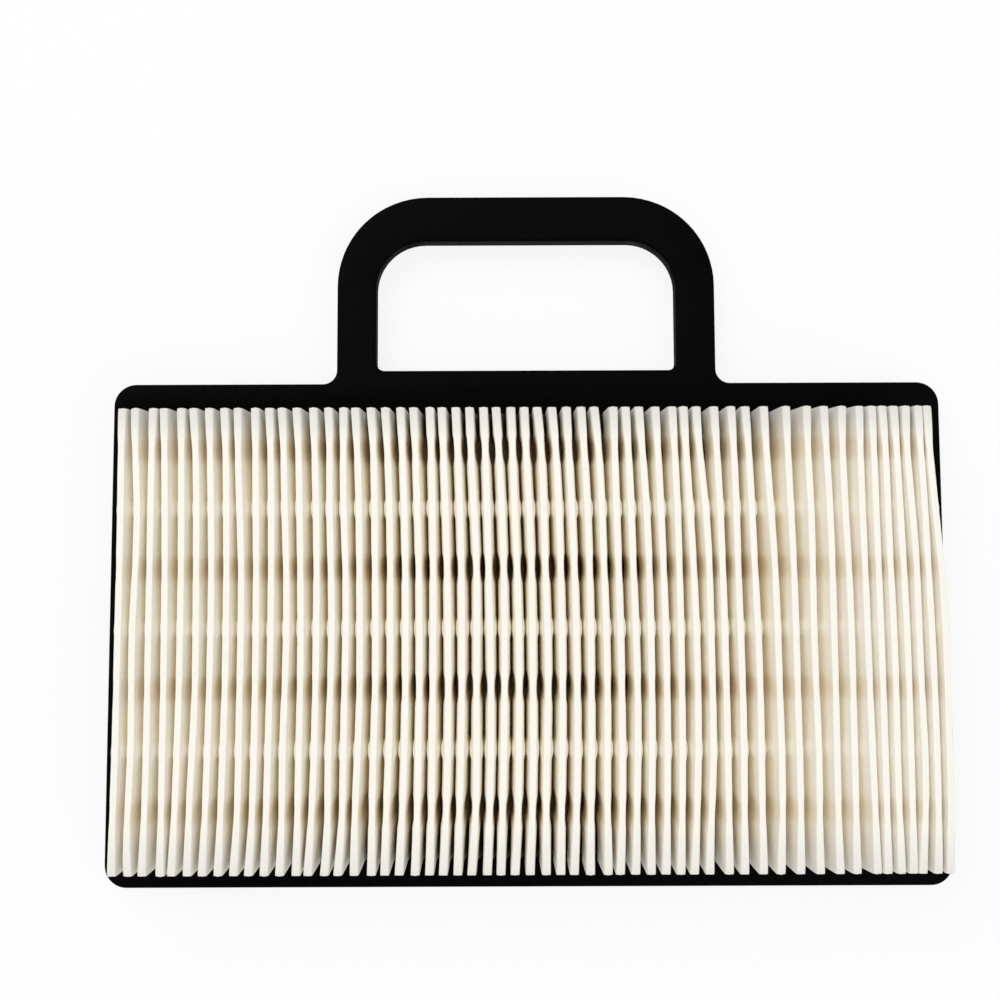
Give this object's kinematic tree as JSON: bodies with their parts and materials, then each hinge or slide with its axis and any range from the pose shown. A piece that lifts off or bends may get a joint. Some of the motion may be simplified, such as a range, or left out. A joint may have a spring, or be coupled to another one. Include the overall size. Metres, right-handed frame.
{
  "type": "panel air filter",
  "caption": "Flat rectangular panel air filter: pleated paper pack cast into a black polyurethane frame with a pull handle and a sealing rib.",
  "frame": {"origin": "under the middle of the whole outline, handle included, on the plane that the sealing rib stands on", "axes": "+Z out of the panel, the way the pleat ridges point; +Y towards the handle; +X along the long side of the panel, across the pleats"},
  "size_m": [0.245, 0.2026, 0.041],
  "materials": {
    "frame_polyurethane": "moulded satin skin",
    "filter_paper": "matte fibrous, embossed",
    "hot_melt_glue": "waxy, slightly translucent"
  },
  "bodies": {
    "root": {"moulded_frame": "frame_polyurethane", "pleated_paper": "filter_paper", "end_beads_handle_side": "hot_melt_glue", "end_beads_front_side": "hot_melt_glue"}
  },
  "joints": []
}
